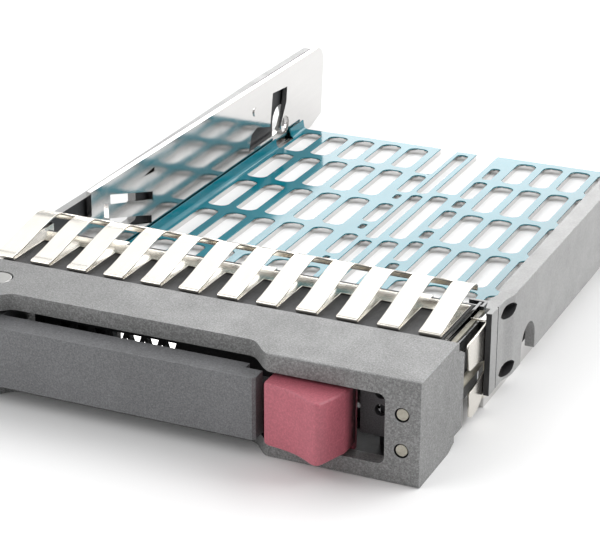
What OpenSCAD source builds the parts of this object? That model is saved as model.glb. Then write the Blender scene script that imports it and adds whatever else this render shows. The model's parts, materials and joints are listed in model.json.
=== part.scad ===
// Hot-swap tray for a 2.5-inch drive, empty.
// X runs along the front bezel, +Y to the rear (the way the tray slides in), +Z up.
// The origin is the centre of the bounding box, at its bottom.
// Inside the modules Y is measured from the bezel's front face; placed() moves it to the origin.

/* [Tray] */
// Overall length from the bezel's front face to the rear end of the side walls
tray_len = 134; // [130:0.5:140]
// Overall width over the two guide rails
tray_w = 76; // [75.5:0.1:77]
// Clear width between the side walls, for a 69.85 mm wide drive
bay_w = 70.6; // [70.2:0.1:71]
// Thickness of the steel sheet
sheet_t = 0.9; // [0.7:0.05:1]
// Thickness of the insulating film on the floor
film_t = 0.2; // [0.1:0.05:0.3]
// Distance from the bezel's front face to the rear edge of the floor
floor_end = 123.5; // [120:0.5:126]

/* [Drive screws] */
// Distance from the bezel's front face to the front side screw of the drive
screw_y = 39.4; // [38:0.1:41]
// Distance between the two side screws of a 2.5-inch drive
screw_pitch = 76.6; // [76.4:0.1:76.8]
// Height of the side screws above the tray's underside
screw_z = 4.1; // [4:0.1:4.3]
// Radius of a screw hole for an M3 screw
screw_r = 1.7; // [1.6:0.05:1.9]

/* [Bezel] */
// Width of the front bezel
bezel_w = 73.2; // [72:0.1:75]
// Height of the front bezel
bezel_h = 15; // [14.8:0.1:15.4]
// Depth of the full-height front part of the bezel
bezel_d = 13.8; // [13:0.1:14.5]
// Distance from the front face to the rear edge of the ledges under the spring fingers
ledge_end = 29.6; // [28.5:0.1:30]
// Thickness of the lips above and below the lever
lip_t = 2.4; // [2:0.1:2.6]
// How far the lips stand back along the lever
lip_set_back = 3.3; // [2.5:0.1:3.5]

/* [Lever] */
// Distance of the hinge pin from the middle of the bezel
pin_x = -30.3; // [-31:0.1:-30]
// Distance of the hinge pin behind the bezel's front face
pin_y = 7.5; // [7:0.1:8]
// Radius of the hinge pin
pin_r = 1.5; // [1.4:0.05:1.6]
// Radial clearance of the lever on its pin
pin_gap = 0.06; // [0.03:0.01:0.1]
// How far the lever's face stands in front of the bezel
lever_proud = 1.7; // [1:0.1:2]
// Position of the lever's free end
lever_end = 14.1; // [13:0.1:14.1]
// Height of the lever's face
lever_h = 9; // [8.6:0.1:9.2]

/* [Release button] */
// Left side of the button
button_x = 15.5; // [15.3:0.1:15.8]
// Width of the button
button_w = 11; // [10:0.1:11.2]
// Height of the button
button_h = 8.9; // [8:0.1:9.1]
// How far the button's ridge stands in front of the bezel
button_proud = 5.3; // [4.5:0.1:5.5]

/* [Spring fingers] */
// Number of spring fingers on each clip
fingers = 12; // [10:1:12]
// Distance from one finger to the next
finger_pitch = 6.015; // [5.9:0.005:6.03]
// Width of one finger
finger_w = 3.1; // [2.8:0.05:3.3]
// Right edge of the last finger
finger_end = 32.9; // [32:0.1:33]
// Thickness of the spring steel
spring_t = 0.25; // [0.2:0.01:0.3]

/* [Floor slots] */
// Distance from one row of slots to the next
slot_row = 15.75; // [15.6:0.05:15.9]
// Length of a slot
slot_len = 13.9; // [13:0.1:14.2]
// Width of a slot
slot_w = 3.9; // [3.4:0.1:4]

/* [Hidden] */
$fn = 48;
eps = 0.01;
bay_half = bay_w / 2;
wall_out = bay_half + sheet_t;
half_w = tray_w / 2;
half_bezel = bezel_w / 2;
mid_z = bezel_h / 2;
origin_y = (tray_len - button_proud) / 2;

// Window for the button and the two lamp holes
window_x1 = 31.7;
window_h = 10;
lamp_x = 34.05;
lamp_dz = 2.55;
lamp_hole_r = 1.02;
lamp_r = 0.8;

// Ledges that carry the spring fingers, and the rear wall of the lever's bay
ledge_z = 13.55;
ledge_x0 = -35;
ledge_x1 = 33.2;
strip_end = 28.6;
bay_wall_y = 9.6;
bay_wall_t = 2.4;

// Grille, of which only the right part opens into the air duct
grille_x0 = -24.4;
grille_x1 = -2.6;
duct_x0 = -13.2;

// Guide rails
rail_z0 = 2.6;
rail_z1 = 14.9;
rail_y0 = 24.4;
rail_in = wall_out + 0.35;
cap_z = 13.7;
right_wall_z = 13.55;
left_wall_z = 15;
left_wall_y0 = 43;
left_front_z = 11;
tab_y0 = 17;
tab_z = 3;
tab_half = 30;
wall_y0 = 25.8;
knuckle_r = 4.2;
bay_roof = bezel_h - lip_t;

// Screws between the bezel's bottom plate and the tab of the floor: axis, head and shank
bezel_screw_x = [-19.78, 22.33];
bezel_screw_y = 19.5;
bezel_screw_head_r = 1.3;
bezel_screw_shank_r = 0.8;
bezel_screw_seat_z = 2.6;

// Rivets that hold the rails to the side walls
rivet_y = [88, 126];
rivet_z = 9;
rivet_r = 1;
rivet_head_r = 1.9;
rivet_head_x = half_w - 0.6;
rivet_end_x = bay_half + 0.25;
fit = 0.05;

// Springs: centre line of the return spring, and its fixed end
return_spring_y = 8.4;
return_spring_x0 = 19.75;
return_spring_len = 8.6;

// Slot layout: rows are counted from the rear edge of the floor
row_web_y = floor_end - 13.7;
left_cols = [-31.7, -26.3, -20.9, -15.5, -10.1];
right_cols = [11, 16.1, 21.2, 26.3, 31.4];

// ---------- helpers ----------

module placed() {
    translate([0, -origin_y, 0]) children();
}

// Extrudes an outline drawn in (y, z) from x0 to x1
module along_x(x0, x1) {
    translate([x0, 0, 0]) rotate([90, 0, 90]) linear_extrude(x1 - x0) children();
}

// Extrudes an outline drawn in (x, z) from y0 to y1
module along_y(y0, y1) {
    translate([0, y1, 0]) rotate([90, 0, 0]) linear_extrude(y1 - y0) children();
}

module block(x0, x1, y0, y1, z0, z1) {
    translate([x0, y0, z0]) cube([x1 - x0, y1 - y0, z1 - z0]);
}

// Rectangle from (x0, y0) to (x1, y1) with round corners
module round_rect(x0, y0, x1, y1, r) {
    translate([x0 + r, y0]) square([x1 - x0 - 2 * r, y1 - y0]);
    translate([x0, y0 + r]) square([x1 - x0, y1 - y0 - 2 * r]);
    for (x = [x0 + r, x1 - r], y = [y0 + r, y1 - r]) translate([x, y]) circle(r);
}

function arc(cx, cy, r, a0, a1, n) =
    [for (i = [0:n]) [cx + r * cos(a0 + (a1 - a0) * i / n), cy + r * sin(a0 + (a1 - a0) * i / n)]];

// Outline of a strip of sheet, t thick, whose lower side follows the points
function strip(points, t) = concat(
    points,
    [for (i = [len(points) - 1:-1:0]) points[i] + t * strip_normal(points, i)]
);
function strip_normal(points, i) =
    let (a = points[max(i - 1, 0)], b = points[min(i + 1, len(points) - 1)], d = b - a)
    [-d[1], d[0]] / norm(d);

// ---------- bezel ----------

// Side outline of the bezel's front part, with a step for the spring fingers
module bezel_profile() {
    polygon([
        [0.35, 0], [10.6, 0], [12.9, 0.7], [12.9, 1.6], [16, 1.6], [16, 12.6], [14.4, ledge_z],
        [bezel_d, ledge_z], [bezel_d, bezel_h - 0.2], [bezel_d - 0.2, bezel_h],
        [0.35, bezel_h], [0.1, bezel_h - 0.1], [0, bezel_h - 0.35], [0, 0.35], [0.1, 0.1]
    ]);
}

// Plan of the space in front of the lips, with an S-curve at each end
module lip_recess_plan() {
    s = lip_set_back;
    polygon([
        [-29.2, -2], [-29.2, 0], [-28.5, 0.15], [-27.8, 0.7], [-26.3, s - 0.9], [-25.6, s - 0.3],
        [-24.8, s], [11.2, s], [12, s - 0.3], [12.7, s - 0.9], [14.2, 0.7], [14.9, 0.15],
        [15.6, 0], [15.6, -2]
    ]);
}

module bezel() {
    color([0.3, 0.31, 0.33]) difference() {
        union() {
            along_x(-half_bezel, half_bezel) bezel_profile();
            block(ledge_x0, ledge_x1, bezel_d - 1, ledge_end, 1.6, ledge_z);
            block(ledge_x1 - 1, ledge_x1 + 0.7, bezel_d - 1, ledge_end, 1.6, 10.5);
        }
        translate([0, 0, -1]) linear_extrude(bezel_h + 2) lip_recess_plan();
        // Bay of the lever, open to the left round the hinge
        block(-25.8, 15, -1, bay_wall_y, lip_t, bay_roof);
        block(-half_bezel - 1, -25.7, -1, 13.9, lip_t, bay_roof);
        // Window of the button, and the wider space behind it that holds the button's flange
        along_y(-1, 2.4) round_rect(12, mid_z - window_h / 2, window_x1, mid_z + window_h / 2, 1);
        block(14.9, 32.3, 2.3, 13, 1.5, bezel_h - 1.5);
        // Space for the light pipes
        block(31, 35.2, 5, bezel_d + 1.3, 1.5 + eps, ledge_z - 0.35);
        block(ledge_x1 - 0.2, 35.2, bezel_d + 1.2, ledge_end + 1, 10.49, bezel_h);
        block(ledge_x1 + 0.7, 35.2, bezel_d + 1.2, ledge_end + 1, 3, 10.5);
        // Air duct behind the grille, and the hollow under the ledge
        block(grille_x0, grille_x1, bay_wall_y - 1, bay_wall_y + 1.3, 3.1, bezel_h - 3.1);
        block(duct_x0, grille_x1, bay_wall_y, 13, 3.1, bezel_h - 3.1);
        block(-33.6, 31.5, bay_wall_y + bay_wall_t, ledge_end + 1, 3, bezel_h - 3);
        for (dz = [-lamp_dz, lamp_dz])
            along_y(-1, 6) translate([lamp_x, mid_z + dz]) circle(lamp_hole_r);
        translate([pin_x, pin_y, 0.6]) cylinder(r = pin_r, h = bezel_h);
        translate([pin_x, pin_y, bezel_h - 0.9]) cylinder(r = 2.3, h = 1);
        for (x = bezel_screw_x) translate([x, bezel_screw_y, 0]) {
            cylinder(r = bezel_screw_shank_r + fit, h = 4);
            cylinder(r = bezel_screw_head_r + fit, h = bezel_screw_seat_z);
        }
    }
    // Ribs that carry the ledges, clear of the tab of the floor
    color([0.3, 0.31, 0.33]) for (x = [-27, 1, 14])
        block(x, x + 1.1, bay_wall_y + bay_wall_t - eps, ledge_end - 3, 4.3, bezel_h - 3 + eps);
    // Post that the return spring of the button bears on
    color([0.3, 0.31, 0.33])
        block(28.4, 29.8, return_spring_y - 1.6, 13.1, 1.4, bezel_h - 1.4);
}

// Grille of alternating triangles between the lever's bay and the air duct
module vent_grille() {
    cell = 2.75;
    rib = 0.42;
    x0 = grille_x0 + 0.02;
    x1 = grille_x1 - 0.02;
    // Height and depth of each row of triangles
    rows = [[3.4, 2], [5.7, 3.2], [9.2, 2.3]];
    color([0.2, 0.2, 0.21]) along_y(bay_wall_y + 0.2, bay_wall_y + 1.2) difference() {
        translate([x0, 3.12]) square([x1 - x0, 8.76]);
        for (row = rows, i = [0:6]) {
            x = x0 + 0.3 + i * cell;
            z = row[0];
            h = row[1];
            polygon([
                [x + rib, z], [x + 1.45 * cell - rib, z], [x + 0.72 * cell, z + h - rib]
            ]);
            polygon([
                [x + 0.72 * cell + rib, z + h], [x + 1.72 * cell - rib, z + h],
                [x + 1.22 * cell, z + rib]
            ]);
        }
    }
}

// Plate behind the window, with the lamps' vent holes
module lamp_plate() {
    color([0.42, 0.42, 0.44]) difference() {
        along_y(5.6, 6.6) {
            round_rect(26, 3.4, 33, 13.2, 0.6);
            round_rect(32, 3.3, 35.1, 13.2, 0.3);
        }
        along_y(5, 7) {
            for (z = [9.7, 7.2]) translate([28.9, z]) circle(0.85);
            for (dz = [-lamp_dz, lamp_dz]) translate([lamp_x, mid_z + dz]) circle(lamp_r + fit);
        }
    }
}

// Dark rib-and-groove channel that guides the light pipes along the right side
module pipe_channel() {
    color([0.1, 0.1, 0.11]) {
        block(33.3, 35.15, 15.3, 27.4, 10.6, 11.4);
        block(33.3, 33.75, 15.3, 31, 11.3, 13.5);
        block(34.75, 35.15, 15.3, 27.4, 11.3, 12.9);
        difference() {
            block(31.6, 34.4, 29.7, 32, 9, 13.4);
            block(31, 33.9, 30.2, 31.4, 12.4, 14);
        }
        block(33.3, 34.4, 27.3, 29.8, 10.6, 11.6);
    }
}

module light_pipe_upper() {
    z = mid_z + lamp_dz;
    color([0.75, 0.74, 0.68]) {
        along_y(0.15, 9) translate([lamp_x, z]) circle(lamp_r);
        block(33.9, 34.6, 8.4, 12, z - 0.6, 12.9);
        block(33.9, 34.6, 11.8, 29.6, 11.9, 12.9);
    }
}

module light_pipe_lower() {
    z = mid_z - lamp_dz;
    color([0.75, 0.74, 0.68]) {
        along_y(0.15, 9) translate([lamp_x, z]) circle(lamp_r);
        block(33.6, 35, 8.4, 10.2, z - 0.6, z + 1.2);
        along_y(9.6, 28) translate([34.6, z + 0.6]) circle(0.6);
    }
}

// ---------- spring clips ----------

// Side outline of one folded finger: a flat lower leaf, a round nose and a bowed upper leaf.
// low is the height of the ledge, rise scales the height of the crest.
module finger_profile(low, rise) {
    t = spring_t;
    crest = [
        [17, 0.6], [20.4, 1.1 * rise], [23.5, 1.8 * rise], [26, 2.3 * rise], [28.2, 2.68 * rise],
        [29.6, 2.72 * rise], [30.7, 2.4 * rise], [31.2, 2.1 * rise], [31.3, 1.3 * rise]
    ];
    translate([0, low]) {
        polygon(strip(crest, t));
        polygon(strip([[16.8, 0.02], [25.3, 0.02]], t));
        difference() {
            translate([16.9, 0.44]) circle(0.43, $fn = 32);
            translate([16.9, 0.44]) circle(0.43 - t, $fn = 32);
            translate([17.1, -1]) square([2, 3]);
        }
    }
}

// count fingers from the right; forward moves them towards the bezel's front face
module finger_clip(low, rise, count, forward) {
    t = spring_t;
    x_end = finger_end;
    x_start = finger_end - (count - 1) * finger_pitch - finger_w;
    for (i = [0:count - 1]) {
        x = x_end - i * finger_pitch;
        translate([0, -forward, 0]) along_x(x - finger_w, x) finger_profile(low, rise);
    }
    // Flat strip at the root of the lower leaves, with tabs hooked over the ledge's rear edge
    block(x_start, x_end, 25.2 - forward, strip_end, low + 0.02, low + 0.02 + t);
    for (i = [1, 5, 9]) {
        x = x_end - i * finger_pitch;
        block(x - finger_w, x, strip_end - eps, 30, low + 0.02, low + 0.02 + t);
        block(x - finger_w, x, 30 - t, 30, low - 1.2, low + 0.02 + eps);
    }
    // Thin band that joins the crests
    translate([0, -forward, 0]) along_x(x_start, x_end) translate([0, low])
        polygon(strip([[30.7, 2.4 * rise], [31.2, 2.1 * rise], [31.3, 1.3 * rise]], t));
}

module emi_clip_top() {
    color([0.9, 0.89, 0.85]) finger_clip(ledge_z, 1, fingers, 0);
}

module emi_clip_bottom() {
    color([0.9, 0.89, 0.85]) translate([0, 0, 1.6]) mirror([0, 0, 1])
        finger_clip(0, 0.46, fingers - 1, 2.4);
}

// Contact spring between the bezel and a rail: a plate with two forward leaves and a short flange
module side_spring(flange) {
    color([0.93, 0.92, 0.9]) {
        along_x(wall_out + 0.02, wall_out + 0.02 + spring_t) {
            polygon([[25, 1.8], [33, 1.8], [33, 13.2], [25.6, 13.2], [25, 7.6]]);
            polygon([
                [18.1, 12.8], [17.8, 12.2], [18.3, 9], [19, 8.6], [22, 8.5], [25.1, 7.6], [25.7, 13.2],
                [22, 12.9]
            ]);
            polygon([
                [19, 5.3], [18.8, 4.9], [19.2, 1.6], [20, 1.1], [22.4, 1.2], [25.1, 2.8], [25.1, 6],
                [22, 5.5]
            ]);
        }
        block(wall_out - flange, wall_out + 0.02 + spring_t, 25.6, 25.78, 13, 13.3);
    }
}

module side_spring_right() {
    side_spring(2.3);
}

module side_spring_left() {
    mirror([1, 0, 0]) side_spring(1);
}

// ---------- tray ----------

// Slots of the floor, the same in the sheet and in the film
module floor_slots() {
    for (x = left_cols) slot_column(x, slot_w);
    for (x = right_cols) slot_column(x, slot_w - 0.2);
    // Narrow columns beside the middle: a slot and a small hole in every row
    for (k = [1:4]) {
        y = row_web_y - k * slot_row;
        round_rect(-6.1, y + 4.6, -3.5, y + slot_row - 1.6, 1.2);
        round_rect(-5.3, y + 1, -4.1, y + 3.4, 0.5);
        round_rect(5.3, y + 6, 7.7, y + slot_row - 0.4, 1.1);
        round_rect(5.6, y + 1, 7.4, y + 5, 0.85);
    }
    round_rect(5.6, row_web_y + 1, 7.4, row_web_y + 7.4, 0.85);
    // Long slots in the middle, over one and a half rows each
    for (k = [0:2]) {
        round_rect(-2.6, 99.4 - k * 23.4, -0.4, 121.8 - k * 23.4, 1);
        if (k > 0) round_rect(0.9, 101 - k * 23.4, 3.9, 123 - k * 23.4, 1.2);
    }
    // Notches in the rear edge
    round_rect(-6.7, row_web_y - 0.6, -3.3, floor_end + 5, 1);
    round_rect(0.5, 101, 4.5, floor_end + 5, 1.2);
    translate([-3.4, 123.1]) square([4, 5]);
    // Small slot in the left rear corner
    round_rect(-35.15, 111, -34.05, 117.5, 0.5);
}

module slot_column(x, w) {
    for (k = [0:4]) {
        y1 = row_web_y - (slot_row - slot_len) / 2 - k * slot_row;
        round_rect(x - w / 2, y1 - slot_len, x + w / 2, y1, 1.45);
    }
    round_rect(x - w / 2, row_web_y + 0.95, x + w / 2, floor_end - 1.7, 1.45);
}

// L-shaped opening of the rear clip, drawn in (y, z); what stays is a leaf
module rear_clip_cut() {
    polygon([
        [110.6, 11.8], [117, 11.3], [116.6, 8.4], [114, 4.4], [112.6, 3.6], [100.2, 3.6], [101.4, 6.6],
        [103.8, 7.2], [109.4, 5.6]
    ]);
}

// Openings of the front clip, drawn in (y, z): what stays between them is a slanting arm
module front_clip_cut() {
    polygon([[49, 12.6], [49, 10.9], [63.2, 7], [63.2, 8.4]]);
    polygon([[60.2, 12], [64, 12.5], [64, 11.7]]);
    polygon([[48.6, 8.9], [48.6, 7.2], [62.6, 3], [62.6, 4.4]]);
}

// Spring arm of the front clip, which stands proud of the wall at its front end
module front_clip_arm() {
    difference() {
        along_x(bay_half - 0.5, bay_half + eps)
            polygon([[47.6, 11.5], [47.6, 9.1], [62.5, 4.5], [63, 7.1]]);
        linear_extrude(20) polygon([
            [bay_half - 1, 47], [bay_half - 0.45, 47], [bay_half, 62], [bay_half, 65], [bay_half - 1, 65]
        ]);
    }
}

// Side wall with its front end kept below the spring fingers
module side_wall(top_z) {
    difference() {
        along_x(bay_half, wall_out) polygon(concat(
            [[wall_y0, 0], [floor_end + 4, 0], [tray_len - 1, 1.4]],
            arc(tray_len - 3, top_z - 3, 3, 0, 90, 6),
            [[33.5, top_z], [33, 13.2], [wall_y0, 13.2]]
        ));
        along_x(bay_half - 1, wall_out + 1) {
            for (y = [screw_y, screw_y + screw_pitch]) translate([y, screw_z]) circle(screw_r);
            rear_clip_cut();
            front_clip_cut();
        }
        along_x(rivet_end_x - fit, wall_out + 1)
            for (y = rivet_y) translate([y, rivet_z]) circle(rivet_r + fit);
    }
    front_clip_arm();
    // Stop on the leaf of the rear clip
    along_x(bay_half - 0.2, bay_half + eps) translate([103, 10.4]) circle(0.8);
}

// Tab that steps up from the floor and lies on the bezel's bottom plate
module floor_tab_profile() {
    t = sheet_t;
    polygon([
        [33 + eps, 0], [33 + eps, t], [32.6, t], [30.6, tab_z + t], [tab_y0, tab_z + t], [tab_y0, tab_z],
        [30.2, tab_z], [32.3, 0]
    ]);
}

module tray_pan() {
    color([0.8, 0.8, 0.82]) {
        difference() {
            union() {
                block(-wall_out, wall_out, 33, floor_end, 0, sheet_t);
                along_x(-tab_half, tab_half) floor_tab_profile();
            }
            translate([0, 0, -1]) linear_extrude(sheet_t + 2) floor_slots();
            for (x = bezel_screw_x) translate([x, bezel_screw_y, 1])
                cylinder(r = bezel_screw_shank_r + fit, h = 4);
        }
        side_wall(right_wall_z);
        // The left wall is lower up to its front screw
        difference() {
            mirror([1, 0, 0]) side_wall(left_wall_z);
            block(-wall_out - 1, 1 - bay_half, 0, left_wall_y0, left_front_z, left_wall_z + 1);
        }
    }
}

module insulator_film() {
    z0 = sheet_t;
    color([0.1, 0.5, 0.66]) {
        difference() {
            block(-bay_half + 1.4, bay_half - 0.1, 33.4, floor_end, z0, z0 + film_t);
            translate([0, 0, -1]) linear_extrude(sheet_t + 3) floor_slots();
        }
        // Edge that curls up against the left wall
        difference() {
            along_y(33.4, floor_end) polygon(strip([
                [-bay_half + 1.41, z0], [-bay_half + 0.9, z0 + 0.15], [-bay_half + 0.45, z0 + 0.6],
                [-bay_half + 0.25, z0 + 1.9]
            ], -film_t));
            linear_extrude(sheet_t + 3) floor_slots();
        }
    }
}

// ---------- rails ----------

// Leaf-shaped slot, drawn in (y, z)
module leaf_slot(y, z) {
    translate([y, z]) intersection_for (side = [-1, 1])
        translate([0, side * 2.7]) circle(3.75);
}

// Cuts that both rails share
module rail_cuts() {
    along_x(rail_in - 1, half_w + 1) {
        leaf_slot(30.9, 12.9);
        leaf_slot(30.9, 4.1);
        translate([screw_y, screw_z + 0.6]) circle(3.1);
        translate([screw_y - 3.1, 0]) square([6.2, screw_z + 0.6]);
        translate([screw_y + screw_pitch, screw_z + 0.6]) circle(3.1);
        translate([screw_y + screw_pitch - 3.1, 0]) square([6.2, screw_z + 0.6]);
    }
    // Step of the outer face near the front end
    linear_extrude(20) polygon([
        [half_w + 1, 20], [37.4, 20], [37.4, 29.4], [37.5, 30.2], [37.9, 31.8], [half_w, 32.6],
        [half_w + 1, 32.6]
    ]);
    // Seam between the front strip and the main face
    along_x(37.2, half_w) translate([27, 0]) square([0.22, 20]);
    for (y = rivet_y) {
        along_x(rail_in - 1, half_w) translate([y, rivet_z]) circle(rivet_r + fit);
        along_x(rivet_head_x, half_w + 1) translate([y, rivet_z]) circle(rivet_head_r + fit);
    }
}

module rail_right() {
    color([0.62, 0.62, 0.63]) difference() {
        union() {
            along_x(rail_in, half_w) polygon(concat(
                [[rail_y0, rail_z0], [tray_len - 3, rail_z0]],
                arc(tray_len - 3, rail_z0 + 3, 3, -90, 0, 6),
                arc(tray_len - 4, rail_z1 - 4, 4, 0, 90, 8),
                [[rail_y0, rail_z1]]
            ));
            translate([0, 0, cap_z]) linear_extrude(rail_z1 - cap_z) polygon([
                [rail_in + eps, 26.2], [35.9, 26.2], [bay_half + 0.05, 28.6], [bay_half + 0.05, 29.6],
                [35.9, 31.2], [bay_half + 0.05, 35.6], [bay_half + 0.05, tray_len - 4],
                [rail_in + eps, tray_len - 4]
            ]);
        }
        rail_cuts();
    }
}

module rail_left() {
    color([0.62, 0.62, 0.63]) mirror([1, 0, 0]) difference() {
        along_x(rail_in, half_w) polygon(concat(
            [[rail_y0, rail_z0], [tray_len - 3, rail_z0]],
            arc(tray_len - 3, rail_z0 + 3, 3, -90, 0, 6),
            arc(tray_len - 4, rail_z1 - 4, 4, 0, 90, 8),
            [[108, rail_z1], [45, rail_z1 - 1.1], [rail_y0, rail_z1 - 1.1]]
        ));
        rail_cuts();
        // Window outside the front clip
        along_x(rail_in - 1, half_w + 1) round_rect(50.5, 4.6, 59.5, 12.4, 0.8);
    }
}

// Rivet through a rail, pressed into a blind hole in the side wall
module rail_rivet(y) {
    along_x(rivet_end_x, rivet_head_x) translate([y, rivet_z]) circle(rivet_r);
    along_x(rivet_head_x, half_w - fit) translate([y, rivet_z]) circle(rivet_head_r);
}

module rail_rivet_right_front() {
    color("silver") rail_rivet(rivet_y[0]);
}

module rail_rivet_right_rear() {
    color("silver") rail_rivet(rivet_y[1]);
}

module rail_rivet_left_front() {
    color("silver") mirror([1, 0, 0]) rail_rivet(rivet_y[0]);
}

module rail_rivet_left_rear() {
    color("silver") mirror([1, 0, 0]) rail_rivet(rivet_y[1]);
}

// Cross-head screw through the bezel's bottom plate into the tab of the floor
module bezel_screw(x) {
    drive = 0.35;
    head_h = 0.9;
    color("dimgray") translate([x, bezel_screw_y, bezel_screw_seat_z - head_h]) difference() {
        union() {
            cylinder(r = bezel_screw_head_r, h = head_h);
            cylinder(r = bezel_screw_shank_r, h = 3.4);
        }
        translate([-0.8, -drive / 2, -eps]) cube([1.6, drive, 0.5]);
        translate([-drive / 2, -0.8, -eps]) cube([drive, 1.6, 0.5]);
    }
}

module bezel_screw_left() {
    bezel_screw(bezel_screw_x[0]);
}

module bezel_screw_right() {
    bezel_screw(bezel_screw_x[1]);
}

// ---------- lever and button ----------

module lever_pin() {
    color([0.55, 0.55, 0.56]) translate([pin_x, pin_y, 0]) {
        translate([0, 0, 0.6]) cylinder(r = pin_r, h = bezel_h - 1.4);
        translate([0, 0, bezel_h - 0.88]) cylinder(r = 2.08, h = 0.83);
    }
}

module eject_lever() {
    z0 = mid_z - lever_h / 2;
    z1 = mid_z + lever_h / 2;
    front = -lever_proud;
    color([0.33, 0.34, 0.36]) difference() {
        union() {
            // Face bar, thinner at its free end
            translate([0, 0, z0]) linear_extrude(lever_h) polygon([
                [-35.6, front + 0.6], [-35, front], [lever_end - 0.4, front], [lever_end, front + 0.4],
                [lever_end, 0.9], [11.6, 0.9], [11.6, 2.3], [-35, 2.3], [-35.6, 1.7]
            ]);
            // Hinge knuckle and the web that joins it to the bar
            translate([pin_x, pin_y, z0]) cylinder(r = knuckle_r, h = lever_h);
            block(-34.2, -26.4, 2, pin_y, z0, z1);
            // Stiffening rib along the back
            block(-27, 11.6, 2.2, 3.4, mid_z - 2.6, mid_z - 1.4);
            block(-27, 11.6, 2.2, 3.4, mid_z + 1.4, mid_z + 2.6);
            // Latch nose at the free end
            block(10.4, lever_end - 0.1, 2.2, 4.3, mid_z - 2, mid_z + 2);
            // Cam tooth that bears on the cage
            translate([0, 0, mid_z - 2.5]) linear_extrude(5)
                polygon([[-32, 6], [-36.6, 7.4], [-36.9, 8.5], [-36.2, 9.4], [-32, 10.6]]);
        }
        translate([pin_x, pin_y, 0]) cylinder(r = pin_r + pin_gap, h = bezel_h);
        // Room for the torsion spring between the two halves of the knuckle
        translate([pin_x, pin_y, mid_z - 1.5]) cylinder(r = 3.4, h = 3);
        block(-31, -24.5, pin_y - 1, pin_y + 5, mid_z - 1.5, mid_z + 1.5);
    }
}

// Place and turn angle of point i of n along a coil
function coil_frame(r, turns, length, n, i) =
    let (a = 360 * turns * i / n) [[r * cos(a), r * sin(a), length * i / n], a];

// Coil of round wire swept as one tube: radius, wire radius, turns, length along Z
module coil(r, wire_r, turns, length, sides) {
    n = ceil(turns * 16);
    points = [for (i = [0:n]) let (f = coil_frame(r, turns, length, n, i)) for (k = [0:sides - 1])
        let (b = 360 * k / sides)
        f[0] + [wire_r * cos(b) * cos(f[1]), wire_r * cos(b) * sin(f[1]), wire_r * sin(b)]];
    faces = concat(
        [for (i = [0:n - 1], k = [0:sides - 1]) let (j = (k + 1) % sides)
            [i * sides + k, i * sides + j, (i + 1) * sides + j, (i + 1) * sides + k]],
        [[for (k = [sides - 1:-1:0]) k]],
        [[for (k = [0:sides - 1]) n * sides + k]]
    );
    polyhedron(points, faces);
}

module lever_spring() {
    color("silver") translate([pin_x, pin_y, mid_z - 1.1]) coil(2.4, 0.3, 3.3, 2.2, 6);
}

module release_button() {
    z0 = mid_z - button_h / 2;
    x0 = button_x;
    x1 = button_x + button_w;
    ridge_x = x0 + 8.85;
    color([0.63, 0.27, 0.35]) {
        translate([0, 0, z0]) linear_extrude(button_h) polygon([
            [x0, 2.9], [x0, -1.6], [x0 + 0.3, -2.1], [x0 + 2, -2.5], [x0 + 4, -3.15], [x0 + 6, -4.05],
            [x0 + 7.6, -4.85], [ridge_x - 0.5, 0.08 - button_proud], [ridge_x, -button_proud],
            [ridge_x + 0.4, 0.3 - button_proud], [x1 - 0.2, -0.8], [x1, -0.2], [x1, 2.9]
        ]);
        // Flange that keeps the button in its window
        block(x0 - 0.4, x1 - 0.2, 2.8, 4, mid_z - 5.6, mid_z + 5.6);
        // Catch towards the lever, and the arm that bears on the return spring
        block(lever_end + 0.35, x0 + eps, 1, 2.4, mid_z - 1.5, mid_z + 1.5);
        block(x0 + 2, x0 + 4, 3.9, return_spring_y + 1.5, mid_z - 1.6, mid_z + 1.6);
    }
}

module button_spring() {
    wire_r = 0.2;
    color("silver") translate([return_spring_x0, return_spring_y, mid_z]) rotate([0, 90, 0])
        translate([0, 0, wire_r]) coil(1.2, wire_r, 7, return_spring_len - 2 * wire_r, 6);
}

placed() bezel();
placed() vent_grille();
placed() lamp_plate();
placed() pipe_channel();
placed() light_pipe_upper();
placed() light_pipe_lower();
placed() emi_clip_top();
placed() emi_clip_bottom();
placed() side_spring_right();
placed() side_spring_left();
placed() tray_pan();
placed() insulator_film();
placed() rail_left();
placed() rail_right();
placed() rail_rivet_left_front();
placed() rail_rivet_left_rear();
placed() rail_rivet_right_front();
placed() rail_rivet_right_rear();
placed() bezel_screw_left();
placed() bezel_screw_right();
placed() lever_pin();
placed() lever_spring();
placed() eject_lever();
placed() release_button();
placed() button_spring();
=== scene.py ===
"""Empty hot-swap tray for a 2.5-inch drive: looks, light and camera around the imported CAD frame."""

import json
import math

import bmesh
import bpy
from mathutils import Matrix, Vector


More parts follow.
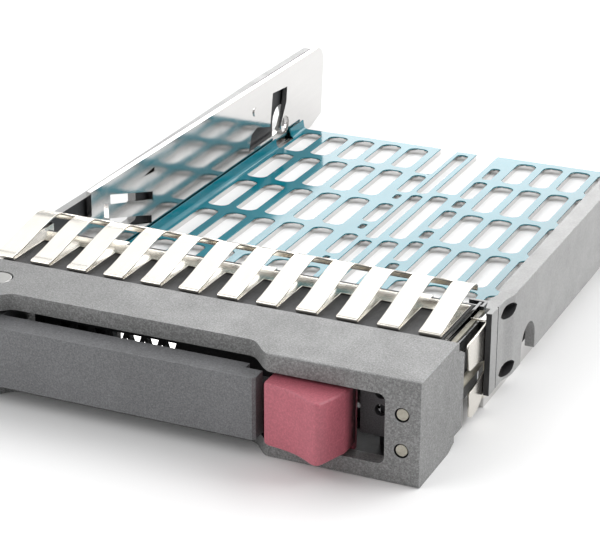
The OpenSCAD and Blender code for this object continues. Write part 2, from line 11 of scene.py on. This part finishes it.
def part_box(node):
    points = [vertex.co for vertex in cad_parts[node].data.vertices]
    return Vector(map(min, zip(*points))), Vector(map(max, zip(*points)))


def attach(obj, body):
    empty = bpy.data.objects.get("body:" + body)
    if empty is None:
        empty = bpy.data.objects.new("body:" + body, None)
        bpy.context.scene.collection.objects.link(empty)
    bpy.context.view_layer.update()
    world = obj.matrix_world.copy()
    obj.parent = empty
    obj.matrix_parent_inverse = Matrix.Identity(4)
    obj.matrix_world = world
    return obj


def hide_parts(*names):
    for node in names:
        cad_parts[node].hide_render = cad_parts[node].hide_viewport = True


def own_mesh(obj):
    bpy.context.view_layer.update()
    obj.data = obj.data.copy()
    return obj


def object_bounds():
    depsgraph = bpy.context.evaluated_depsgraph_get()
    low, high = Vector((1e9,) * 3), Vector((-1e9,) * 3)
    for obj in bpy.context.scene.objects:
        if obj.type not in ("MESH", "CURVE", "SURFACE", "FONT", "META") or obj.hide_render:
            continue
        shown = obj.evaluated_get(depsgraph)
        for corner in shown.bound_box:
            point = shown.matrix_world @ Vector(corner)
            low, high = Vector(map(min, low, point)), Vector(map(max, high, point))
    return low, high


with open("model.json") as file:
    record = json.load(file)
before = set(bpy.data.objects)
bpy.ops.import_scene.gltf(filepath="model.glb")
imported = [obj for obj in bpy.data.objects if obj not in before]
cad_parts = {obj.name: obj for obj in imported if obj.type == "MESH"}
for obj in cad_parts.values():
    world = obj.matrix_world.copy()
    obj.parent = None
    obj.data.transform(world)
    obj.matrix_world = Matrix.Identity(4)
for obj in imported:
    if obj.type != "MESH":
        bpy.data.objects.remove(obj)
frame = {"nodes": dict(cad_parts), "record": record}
cad_low, cad_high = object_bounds()

MM = 0.001
record = frame["record"]

# Places taken from the frame, in metres
FACE_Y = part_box("bezel")[0].y


def at(x, y, z):
    """A place in millimetres, with y measured from the bezel's front face."""
    return Vector((x * MM, FACE_Y + y * MM, z * MM))


# ---------- materials ----------


class Shader:
    """A Principled material that is built node by node."""

    def __init__(self, name, **inputs):
        self.material = bpy.data.materials.new(name)
        self.material.use_nodes = True
        self.tree = self.material.node_tree
        self.bsdf = self.tree.nodes["Principled BSDF"]
        for key, value in inputs.items():
            self.bsdf.inputs[key.replace("_", " ")].default_value = value
        self.coords = self.node("ShaderNodeTexCoord").outputs["Object"]

    def node(self, kind, **settings):
        made = self.tree.nodes.new(kind)
        for key, value in settings.items():
            setattr(made, key, value)
        return made

    def link(self, out, into):
        self.tree.links.new(out, into)

    def stretched(self, scale):
        mapping = self.node("ShaderNodeMapping")
        mapping.inputs["Scale"].default_value = scale
        self.link(self.coords, mapping.inputs["Vector"])
        return mapping.outputs["Vector"]

    def noise(self, size, detail=3.0, roughness=0.6, vector=None, distortion=0.0):
        """Noise whose features are about size metres across."""
        made = self.node("ShaderNodeTexNoise")
        made.inputs["Scale"].default_value = 1 / size
        made.inputs["Detail"].default_value = detail
        made.inputs["Roughness"].default_value = roughness
        made.inputs["Distortion"].default_value = distortion
        self.link(vector or self.coords, made.inputs["Vector"])
        return made.outputs["Fac"]

    def ramp(self, fac, stops):
        made = self.node("ShaderNodeValToRGB")
        elements = made.color_ramp.elements
        while len(elements) < len(stops):
            elements.new(0.5)
        for element, (position, colour) in zip(elements, stops):
            element.position = position
            if not isinstance(colour, (tuple, list)):
                colour = (colour, colour, colour)
            element.color = (*colour, 1)
        self.link(fac, made.inputs["Fac"])
        return made.outputs["Color"]

    def mix(self, fac, a, b, blend="MIX"):
        made = self.node("ShaderNodeMix", data_type="RGBA", blend_type=blend)
        for value, socket in ((fac, made.inputs[0]), (a, made.inputs[6]), (b, made.inputs[7])):
            if isinstance(value, bpy.types.NodeSocket):
                self.link(value, socket)
            elif isinstance(value, (tuple, list)):
                socket.default_value = (*value, 1)
            else:
                socket.default_value = value
        return made.outputs[2]

    def bump(self, height, distance, strength=1.0):
        """Adds a bump on top of any bump that is already there."""
        made = self.node("ShaderNodeBump")
        made.inputs["Distance"].default_value = distance
        made.inputs["Strength"].default_value = strength
        self.link(height, made.inputs["Height"])
        before = self.bsdf.inputs["Normal"].links
        if before:
            self.link(before[0].from_socket, made.inputs["Normal"])
        self.link(made.outputs["Normal"], self.bsdf.inputs["Normal"])

    def edges(self, radius):
        """1 along the edges of the piece, 0 on its flat faces."""
        rounded = self.node("ShaderNodeBevel", samples=4)
        rounded.inputs["Radius"].default_value = radius
        flat = self.node("ShaderNodeNewGeometry").outputs["True Normal"]
        match = self.node("ShaderNodeVectorMath", operation="DOT_PRODUCT")
        self.link(rounded.outputs["Normal"], match.inputs[0])
        self.link(flat, match.inputs[1])
        return self.ramp(match.outputs["Value"], [(0.8, 1.0), (0.97, 0.0)])

    def specks(self, cell, share):
        """1 in small dots, one in each cell, whose radius is that share of the cell."""
        dots = self.node("ShaderNodeTexVoronoi")
        dots.inputs["Scale"].default_value = 1 / cell
        self.link(self.coords, dots.inputs["Vector"])
        return self.ramp(dots.outputs["Distance"], [(share * 0.5, 1.0), (share, 0.0)])

    def colour(self, out):
        self.link(out, self.bsdf.inputs["Base Color"])

    def roughness(self, out):
        self.link(out, self.bsdf.inputs["Roughness"])


def moulded_plastic(name, colour, rough=0.5, grain=0.00022, speckle=0.3, bump=0.00002, edge_lift=1.8):
    """Spark-eroded plastic: a fine grain, handling marks, edges made paler in patches and a little
    dust.
    """
    s = Shader(name, Specular_IOR_Level=0.5)
    fine = s.noise(grain, detail=2.0, roughness=0.7)
    dark = [c * (1 - speckle) for c in colour]
    light = [min(1, c * (1 + speckle * 1.5) + 0.01 * speckle) for c in colour]
    base = s.ramp(fine, [(0.3, dark), (0.5, colour), (0.72, light)])
    cloud = s.ramp(s.noise(0.012, detail=4.0), [(0.3, 0.9), (0.7, 1.06)])
    base = s.mix(1.0, base, cloud, "MULTIPLY")
    # Edges made paler in patches
    pale_edge_colour = [min(1, c * edge_lift + 0.02) for c in colour]
    patches = s.ramp(s.noise(0.0012, detail=4.0), [(0.42, 0.0), (0.62, 0.6)])
    base = s.mix(s.mix(1.0, s.edges(0.0003), patches, "MULTIPLY"), base, pale_edge_colour)
    s.colour(s.mix(s.specks(0.006, 0.016), base, (0.6, 0.6, 0.58)))
    marks = s.noise(0.004, detail=5.0, roughness=0.65)
    s.roughness(s.ramp(marks, [(0.35, rough - 0.07), (0.7, rough + 0.09)]))
    s.bump(fine, bump)
    return s.material


def sheet_steel(name, colour, rough, along=(1, 1, 1), relief=0.000003, streak=0.06):
    """Bright rolled steel: fine rolling lines, faint smudges and a slight waviness."""
    s = Shader(name, Metallic=1.0)
    lines = s.noise(0.0006, detail=6.0, roughness=0.7, vector=s.stretched(along))
    smudge = s.noise(0.006, detail=4.0, roughness=0.6)
    dim = [c * (1 - streak) for c in colour]
    s.colour(s.ramp(lines, [(0.3, dim), (0.65, colour)]))
    s.roughness(s.ramp(smudge, [(0.35, rough * 0.7), (0.75, rough * 1.45)]))
    s.bump(lines, relief)
    s.bump(s.noise(0.009, detail=1.0), 0.00002)
    return s.material


def glossy_film(name):
    """Blue insulating film, a little wavy, with fine scuffs."""
    s = Shader(name, IOR=1.5)
    cloud = s.noise(0.010, detail=3.0)
    s.colour(s.ramp(cloud, [(0.3, (0.0, 0.15, 0.2)), (0.7, (0.0, 0.18, 0.235))]))
    scuff = s.noise(0.0012, detail=6.0, roughness=0.7, vector=s.stretched((1, 0.25, 1)))
    s.roughness(s.ramp(scuff, [(0.4, 0.08), (0.75, 0.17)]))
    s.bump(s.noise(0.014, detail=1.0), 0.00012, 0.5)
    s.bump(scuff, 0.000003)
    return s.material


def frosted_lens(name):
    """Milky polycarbonate of the lamps' ends."""
    s = Shader(name, Transmission_Weight=0.25, Subsurface_Weight=0.3, IOR=1.58)
    s.bsdf.inputs["Subsurface Radius"].default_value = (0.0012, 0.0011, 0.0009)
    s.bsdf.inputs["Subsurface Scale"].default_value = 0.6
    haze = s.noise(0.0007, detail=3.0)
    s.colour(s.ramp(haze, [(0.3, (0.42, 0.39, 0.31)), (0.7, (0.6, 0.57, 0.48))]))
    s.roughness(s.ramp(haze, [(0.3, 0.32), (0.7, 0.5)]))
    s.bump(haze, 0.00001)
    return s.material


def dark_gloss(name):
    """Glossy dark polycarbonate of the light pipes and their channel."""
    s = Shader(name, Specular_IOR_Level=0.6, IOR=1.58)
    haze = s.noise(0.003, detail=4.0)
    s.colour(s.ramp(haze, [(0.3, (0.012, 0.014, 0.016)), (0.7, (0.03, 0.033, 0.035))]))
    s.roughness(s.ramp(haze, [(0.35, 0.08), (0.7, 0.2)]))
    s.bump(s.noise(0.002, detail=1.0), 0.00002)
    return s.material


def pale_floor(name):
    s = Shader(name, Specular_IOR_Level=0.2)
    s.colour(s.ramp(s.noise(0.4, detail=2.0), [(0.3, 0.86), (0.7, 0.88)]))
    s.roughness(s.ramp(s.noise(0.05), [(0.3, 0.6), (0.7, 0.7)]))
    return s.material


BEZEL = moulded_plastic("bezel_plastic", (0.175, 0.176, 0.175), rough=0.42, speckle=0.42)
LEVER = moulded_plastic("lever_plastic", (0.128, 0.13, 0.135), rough=0.42, speckle=0.3)
# Dark plastic of its own parts; it is also laid on faces in shade of other pieces as painted shade.
BLACK = moulded_plastic("dark_plastic", (0.018, 0.018, 0.02), rough=0.55, speckle=0.3)
PLATE = moulded_plastic("grey_plastic", (0.12, 0.115, 0.12), rough=0.55, speckle=0.25)
RAIL = moulded_plastic(
    "rail_plastic", (0.27, 0.27, 0.268), rough=0.38, grain=0.0003, speckle=0.12, bump=0.00001
)
MAROON = moulded_plastic(
    "maroon_plastic", (0.39, 0.1, 0.13), rough=0.42, grain=0.0003, speckle=0.16, bump=0.000012
)
SPRING = sheet_steel("spring_steel", (0.82, 0.785, 0.72), 0.2, along=(0.6, 0.08, 0.6), streak=0.03)
PAN = sheet_steel("stainless_steel", (0.68, 0.67, 0.66), 0.1, along=(1, 0.05, 1), streak=0.04)
RIVET = sheet_steel("rivet_steel", (0.42, 0.42, 0.41), 0.4)
# The coil springs' wire is painted dark: painted shade of the hollows the springs sit in.
SHADED_WIRE = sheet_steel("spring_wire_painted_shade", (0.14, 0.13, 0.12), 0.5)
FILM = glossy_film("blue_film")
LENS = frosted_lens("light_pipe")
GLOSS = dark_gloss("gloss_plastic")

SLOTS = {
    "bezel_plastic": BEZEL,
    "lever_plastic": LEVER,
    "dark_plastic": BLACK,
    "grey_plastic": PLATE,
    "rail_plastic": RAIL,
    "maroon_plastic": MAROON,
    "spring_steel": SPRING,
    "stainless_steel": PAN,
    "rivet_steel": RIVET,
    "blue_film": FILM,
    "light_pipe": LENS,
    "gloss_plastic": GLOSS,
}
SLOT_OF = {part["node"]: part["material_slot"] for part in record["subparts"]}
BODY_OF = {node: body for body, nodes in record["behaviour"]["bodies"].items() for node in nodes}


def paint(obj, slot, material=None):
    obj.data.materials.clear()
    obj.data.materials.append(material or SLOTS[slot])
    return obj


# ---------- mesh helpers ----------


def new_object(name, bm):
    mesh = bpy.data.meshes.new(name)
    bm.to_mesh(mesh)
    bm.free()
    obj = bpy.data.objects.new(name, mesh)
    bpy.context.scene.collection.objects.link(obj)
    return obj


def soften(obj, width, segments=2, angle=35):
    """Rounds the sharp edges and keeps the flat faces flat."""
    for polygon in obj.data.polygons:
        polygon.use_smooth = True
    bevel = obj.modifiers.new("edges", "BEVEL")
    bevel.width = width * MM
    bevel.segments = segments
    bevel.limit_method = "ANGLE"
    bevel.angle_limit = math.radians(angle)
    bevel.harden_normals = False
    weighted = obj.modifiers.new("flat faces", "WEIGHTED_NORMAL")
    weighted.keep_sharp = False
    weighted.weight = 60
    return obj


def stand_in(obj, *nodes, material=None):
    """obj replaces these CAD nodes, rides on their body and takes their material."""
    paint(obj, SLOT_OF[nodes[0]], material)
    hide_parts(*nodes)
    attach(obj, BODY_OF[nodes[0]])
    return obj


def paint_shade(obj, is_shaded):
    """Paints shade: gives the dark plastic to faces that lie in shade.

    The test picks them by their middle, in millimetres as for at(), and their normal.
    """
    obj.data.materials.append(BLACK)
    for polygon in obj.data.polygons:
        x, y, z = polygon.center
        if is_shaded(x / MM, (y - FACE_Y) / MM, z / MM, polygon.normal):
            polygon.material_index = 1


def shaded_in_bezel(x, y, z, _normal):
    """Painted shade: the hollows of the bezel and the ledge under the spring fingers, which lie in
    shade.
    """
    hollow = 2.35 < y < 14 and 1.45 < z < 13.52 and abs(x) < 36.3
    ledge = y > 13.85 and 12.5 < z < 13.7 and abs(x) < 34.5
    return hollow or ledge


def shaded_on_rail(x, y, z, normal):
    """Painted shade: a rail's face towards the wall, its front end and the sides of the slots there,
    which lie in shade.
    """
    towards_wall = abs(x) < 36.7 and z < 13.6
    across_front = y < 36 and 1.5 < z < 13.4 and abs(normal.x) < 0.5
    return towards_wall or across_front


# Which faces of each CAD node get the dark plastic as painted shade
SHADED_SIDES = {
    "bezel": shaded_in_bezel,
    "rail_left": shaded_on_rail,
    "rail_right": shaded_on_rail,
}


def refined(node, width, segments=2, angle=35):
    """A copy of a CAD node with clean flat faces and rounded edges."""
    bm = bmesh.new()
    bm.from_mesh(frame["nodes"][node].data)
    bmesh.ops.remove_doubles(bm, verts=bm.verts, dist=2e-7)
    bmesh.ops.dissolve_limit(
        bm, angle_limit=math.radians(0.6), verts=bm.verts[:], edges=bm.edges[:]
    )
    bmesh.ops.recalc_face_normals(bm, faces=bm.faces)
    obj = new_object(node + "_fine", bm)
    soften(obj, width, segments, angle)
    stand_in(obj, node)
    # Faces in shade get the dark plastic as painted shade
    if node in SHADED_SIDES:
        paint_shade(obj, SHADED_SIDES[node])


def sheet_along(bm, path, columns, full_width):
    """Adds a sheet that follows a path in (y, z), in millimetres.

    columns are the x edges of its strips. full_width tells, for each stretch of the path, whether
    the gaps between the strips are filled.
    """
    grid = [[bm.verts.new(at(x, y, z)) for x in columns] for y, z in path]
    for low, high, filled in zip(grid, grid[1:], full_width):
        for column in range(len(columns) - 1):
            if filled or column % 2 == 0:
                bm.faces.new((low[column], low[column + 1], high[column + 1], high[column]))


def smooth_path(points, steps):
    """Catmull-Rom curve through the points."""
    curve = []
    padded = [points[0]] + list(points) + [points[-1]]
    for k in range(1, len(padded) - 2):
        p0, p1, p2, p3 = (Vector(p) for p in padded[k - 1 : k + 3])
        for step in range(steps):
            t = step / steps
            curve.append(
                0.5
                * (
                    2 * p1
                    + (p2 - p0) * t
                    + (2 * p0 - 5 * p1 + 4 * p2 - p3) * t * t
                    + (3 * p1 - p0 - 3 * p2 + p3) * t * t * t
                )
            )
    curve.append(Vector(points[-1]))
    return curve


# ---------- shielding clips ----------

FINGER_PITCH = 6.015
FINGER_WIDTH = 3.1
FINGER_END = 32.9
SPRING_SHEET = 0.25
STRIP_END = 28.6
HOOKED_FINGERS = (1, 5, 9)


def finger_path(forward, rise):
    """Middle line of the folded sheet in (y, height), and which stretches run the whole width."""
    middle = SPRING_SHEET / 2
    low = 0.02 + middle
    nose_r = 0.29
    nose_y = 16.9 - forward
    base = [(STRIP_END, low), (27, low), (25.2 - forward, low)]
    leaf = [(22 - forward, low), (nose_y + 1, low), (nose_y, low)]
    nose = []
    for degrees in range(30, 180, 25):
        a = math.radians(degrees)
        nose.append((nose_y - nose_r * math.sin(a), low + nose_r * (1 - math.cos(a))))
    crest = [
        (17.6, 0.74),
        (20.4, 1.1 * rise + middle),
        (23.5, 1.8 * rise + middle),
        (26, 2.3 * rise + middle),
        (28.2, 2.64 * rise + middle),
        (29.6, 2.65 * rise + middle),
        (30.7, 2.4 * rise + middle),
    ]
    upper = [tuple(p) for p in smooth_path([(y - forward, z) for y, z in crest], 4)]
    band = [(31.15 - forward, 2.1 * rise + middle), (31.2 - forward, 1.35 * rise + middle)]
    path = base + leaf + nose + upper + band
    full_width = [
        k < len(base) - 1 or k >= len(path) - len(band) - 1 for k in range(len(path) - 1)
    ]
    return path, full_width


def add_clip(node, ledge_z, up, rise, count, forward):
    path, full_width = finger_path(forward, rise)
    fingers = []
    for k in range(count):
        right = FINGER_END - (count - 1 - k) * FINGER_PITCH
        fingers.append((right - FINGER_WIDTH, right))
    bm = bmesh.new()
    columns = [x for finger in fingers for x in finger]
    sheet_along(bm, [(y, ledge_z + up * z) for y, z in path], columns, full_width)
    # Tabs that hook over the ledge's rear edge
    tab = [(STRIP_END, 0.145), (29.6, 0.145), (29.8, 0.05), (29.87, -0.2), (29.87, -1.1)]
    for k in HOOKED_FINGERS:
        tab_path = [(y, ledge_z + up * z) for y, z in tab]
        sheet_along(bm, tab_path, fingers[count - 1 - k], [True] * (len(tab) - 1))
    bmesh.ops.remove_doubles(bm, verts=bm.verts, dist=1e-6)
    bmesh.ops.delete(bm, geom=[v for v in bm.verts if not v.link_faces], context="VERTS")
    bmesh.ops.recalc_face_normals(bm, faces=bm.faces)
    clip = new_object(node + "_fine", bm)
    solid = clip.modifiers.new("sheet", "SOLIDIFY")
    solid.thickness = SPRING_SHEET * MM
    solid.offset = 0
    soften(clip, 0.05, 2, 50)
    stand_in(clip, node)


add_clip("emi_clip_top", 13.55, 1, 1, 12, 0)
add_clip("emi_clip_bottom", 1.6, -1, 0.46, 11, 2.4)

# ---------- release button ----------

BUTTON_LOW, BUTTON_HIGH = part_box("release_button")
BUTTON_LEFT = 15.5
BUTTON_RIGHT = 26.5

# Half heights of the button's parts
FACE_HALF = 4.45
FLANGE_HALF = 5.6
CATCH_HALF = 1.5
ARM_HALF = 1.6


def rounded_prism(bm, outline, z0, z1, round_by):
    """Adds an upright prism whose top and bottom edges are rounded."""
    area = sum(a[0] * b[1] - b[0] * a[1] for a, b in zip(outline, outline[1:] + outline[:1]))
    if area < 0:
        outline = outline[::-1]
    middle = Vector((sum(p[0] for p in outline), sum(p[1] for p in outline))) / len(outline)
    rings = []
    steps = 5
    for side in (-1, 1):
        for k in range(steps + 1):
            a = math.radians(90 * (k if side == -1 else steps - k) / steps)
            inset = round_by * (1 - math.sin(a))
            climb = round_by * (1 - math.cos(a))
            z = z0 + climb if side == -1 else z1 - climb
            ring = []
            for p in outline:
                away = Vector(p) - middle
                ring.append(bm.verts.new(at(*(Vector(p) - away.normalized() * inset), z)))
            rings.append(ring)
    count = len(outline)
    for low, high in zip(rings, rings[1:]):
        for k in range(count):
            n = (k + 1) % count
            bm.faces.new((low[k], low[n], high[n], high[k]))
    bm.faces.new(rings[0][::-1])
    bm.faces.new(rings[-1])


BOX_QUADS = (
    (0, 1, 3, 2),
    (4, 6, 7, 5),
    (0, 4, 5, 1),
    (2, 3, 7, 6),
    (0, 2, 6, 4),
    (1, 5, 7, 3),
)


def box_into(bm, x0, x1, y0, y1, z0, z1):
    """Adds a box between two corners, in millimetres as for at()."""
    corners = [at(x, y, z) for x in (x0, x1) for y in (y0, y1) for z in (z0, z1)]
    verts = [bm.verts.new(c) for c in corners]
    for quad in BOX_QUADS:
        bm.faces.new([verts[k] for k in quad])


def button_outline():
    """Plan of the button: a hollow left face, a round ridge and a steep right face."""
    x0, x1 = BUTTON_LEFT, BUTTON_RIGHT
    corner = [(x0, 2.9), (x0, -1.5), (x0 + 0.12, -1.95), (x0 + 0.55, -2.2)]
    hollow = [(x0 + 2.2, -2.48), (x0 + 4.2, -3.05), (x0 + 6.2, -4.0), (x0 + 7.7, -4.8)]
    ridge = [(x0 + 8.3, -5.12), (x0 + 8.8, -5.24), (x0 + 9.25, -5.08), (x0 + 9.5, -4.65)]
    back = [(x0 + 9.95, -3.5), (x1 - 0.28, -1.1), (x1 - 0.05, -0.4), (x1, 0.2), (x1, 2.9)]
    curved = smooth_path(corner[1:] + hollow + ridge + back[:-1], 4)
    return [corner[0]] + [tuple(p) for p in curved] + [back[-1]]


def add_button():
    middle = (BUTTON_LOW.z + BUTTON_HIGH.z) / 2 / MM
    bm = bmesh.new()
    rounded_prism(bm, button_outline(), middle - FACE_HALF, middle + FACE_HALF, 0.42)
    button = new_object("release_button_face", bm)
    for polygon in button.data.polygons:
        polygon.use_smooth = True
    weighted = button.modifiers.new("flat faces", "WEIGHTED_NORMAL")
    weighted.weight = 60
    stand_in(button, "release_button")
    bm = bmesh.new()
    # The flange behind the window, the catch towards the lever, and the arm that bears on the spring
    box_into(bm, 15.1, 26.3, 2.8, 4, middle - FLANGE_HALF, middle + FLANGE_HALF)
    box_into(bm, 14.45, 15.6, 1, 2.4, middle - CATCH_HALF, middle + CATCH_HALF)
    box_into(bm, 17.5, 19.5, 3.9, 9.9, middle - ARM_HALF, middle + ARM_HALF)
    frame_part = new_object("release_button_flange", bm)
    soften(frame_part, 0.15)
    stand_in(frame_part, "release_button")


add_button()

# ---------- wire springs ----------


def add_coil(node, axis, start, length, radius, wire, turns):
    """A round-wire coil along Z or X, from its start at a place in millimetres."""
    per_turn = 20
    count = int(turns * per_turn)
    data = bpy.data.curves.new(node + "_fine", "CURVE")
    data.dimensions = "3D"
    data.bevel_depth = wire * MM
    data.bevel_resolution = 3
    data.use_fill_caps = True
    spline = data.splines.new("POLY")
    spline.points.add(count)
    for k in range(count + 1):
        a = 2 * math.pi * k / per_turn
        along = wire + (length - 2 * wire) * k / count
        swing = Vector((math.cos(a), math.sin(a))) * (radius - wire)
        if axis == "Z":
            offset = Vector((swing.x, swing.y, along))
        else:
            offset = Vector((along, swing.x, swing.y))
        spline.points[k].co = (*(at(*start) + offset * MM), 1)
    curve = bpy.data.objects.new(node + "_curve", data)
    bpy.context.scene.collection.objects.link(curve)
    graph = bpy.context.evaluated_depsgraph_get()
    mesh = bpy.data.meshes.new_from_object(curve.evaluated_get(graph))
    bpy.data.objects.remove(curve)
    coil = bpy.data.objects.new(node + "_fine", mesh)
    bpy.context.scene.collection.objects.link(coil)
    # The coil takes the dark wire that paints shade
    return stand_in(coil, node, material=SHADED_WIRE)


def add_springs():
    low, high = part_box("lever_spring")
    middle = (low + high) / 2
    start = (middle.x / MM, (middle.y - FACE_Y) / MM, low.z / MM)
    add_coil("lever_spring", "Z", start, (high.z - low.z) / MM, radius=2.7, wire=0.3, turns=3.3)
    low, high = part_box("button_spring")
    middle = (low + high) / 2
    start = (low.x / MM, (middle.y - FACE_Y) / MM, middle.z / MM)
    length = (high.x - low.x) / MM
    spring = add_coil("button_spring", "X", start, length, radius=1.4, wire=0.2, turns=7)
    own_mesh(spring)


for node, obj in frame["nodes"].items():
    paint(obj, SLOT_OF[node])

EDGE_ROUNDING = {
    "bezel": 0.2,
    "vent_grille": 0.05,
    "lamp_plate": 0.1,
    "pipe_channel": 0.08,
    "light_pipe_upper": 0.2,
    "light_pipe_lower": 0.2,
    "side_spring_right": 0.04,
    "side_spring_left": 0.04,
    "tray_pan": 0.08,
    "insulator_film": 0.03,
    "rail_left": 0.2,
    "rail_right": 0.2,
    "rail_rivet_left_front": 0.15,
    "rail_rivet_left_rear": 0.15,
    "rail_rivet_right_front": 0.15,
    "rail_rivet_right_rear": 0.15,
    "bezel_screw_left": 0.08,
    "bezel_screw_right": 0.08,
    "lever_pin": 0.15,
    "eject_lever": 0.35,
}
for node, width in EDGE_ROUNDING.items():
    refined(node, width, 3 if width > 0.15 else 2)
add_springs()

# ---------- floor, light and camera ----------

AIM = Vector((-2.4, -14.75, 5)) * MM
AZIMUTH = 24.09
ELEVATION = 22.485
ROLL = 0.232
DISTANCE = 318.4 * MM
LENS_MM = 123.3


def direction(azimuth, elevation):
    """Unit vector from the object towards a place seen at that azimuth and elevation."""
    a, e = math.radians(azimuth), math.radians(elevation)
    return Vector((math.sin(a) * math.cos(e), -math.cos(a) * math.cos(e), math.sin(e)))


def add_camera():
    data = bpy.data.cameras.new("camera")
    data.sensor_width = 36
    data.lens = LENS_MM
    data.clip_start = 0.01
    data.clip_end = 20
    camera = bpy.data.objects.new("camera", data)
    bpy.context.scene.collection.objects.link(camera)
    back = direction(AZIMUTH, ELEVATION)
    camera.location = AIM + back * DISTANCE
    look = (-back).to_track_quat("-Z", "Y").to_matrix()
    camera.matrix_world = (
        Matrix.Translation(camera.location)
        @ look.to_4x4()
        @ Matrix.Rotation(math.radians(ROLL), 4, "Z")
    )
    bpy.context.scene.camera = camera


def add_area(name, azimuth, elevation, size, radiance):
    """A soft box one metre away that faces the object.

    radiance is what a mirror would show of it.
    """
    data = bpy.data.lights.new(name, "AREA")
    data.shape = "RECTANGLE"
    data.size, data.size_y = size
    data.energy = radiance * math.pi * size[0] * size[1]
    lamp = bpy.data.objects.new(name, data)
    bpy.context.scene.collection.objects.link(lamp)
    toward = direction(azimuth, elevation)
    lamp.location = toward
    lamp.rotation_mode = "QUATERNION"
    lamp.rotation_quaternion = (-toward).to_track_quat("-Z", "Y")


def add_floor():
    bm = bmesh.new()
    bmesh.ops.create_grid(bm, x_segments=8, y_segments=8, size=4)
    floor = new_object("floor", bm)
    floor.location.z = cad_low.z
    floor.data.materials.append(pale_floor("floor_white"))


def add_world():
    world = bpy.data.worlds.new("studio")
    world.use_nodes = True
    background = world.node_tree.nodes["Background"]
    background.inputs["Color"].default_value = (1, 1, 1, 1)
    background.inputs["Strength"].default_value = 0.54
    bpy.context.scene.world = world


add_floor()
add_world()
add_camera()
add_area("film_gloss", 193, 20, (0.66, 0.45), 3.2)
add_area("back_high", 208, 53, (1.9, 0.7), 0.85)
add_area("back_right", 124, 39, (0.9, 0.7), 4.1)
add_area("front_left", -50, 32, (0.8, 0.7), 2.5)
bpy.context.scene.view_settings.view_transform = "Standard"
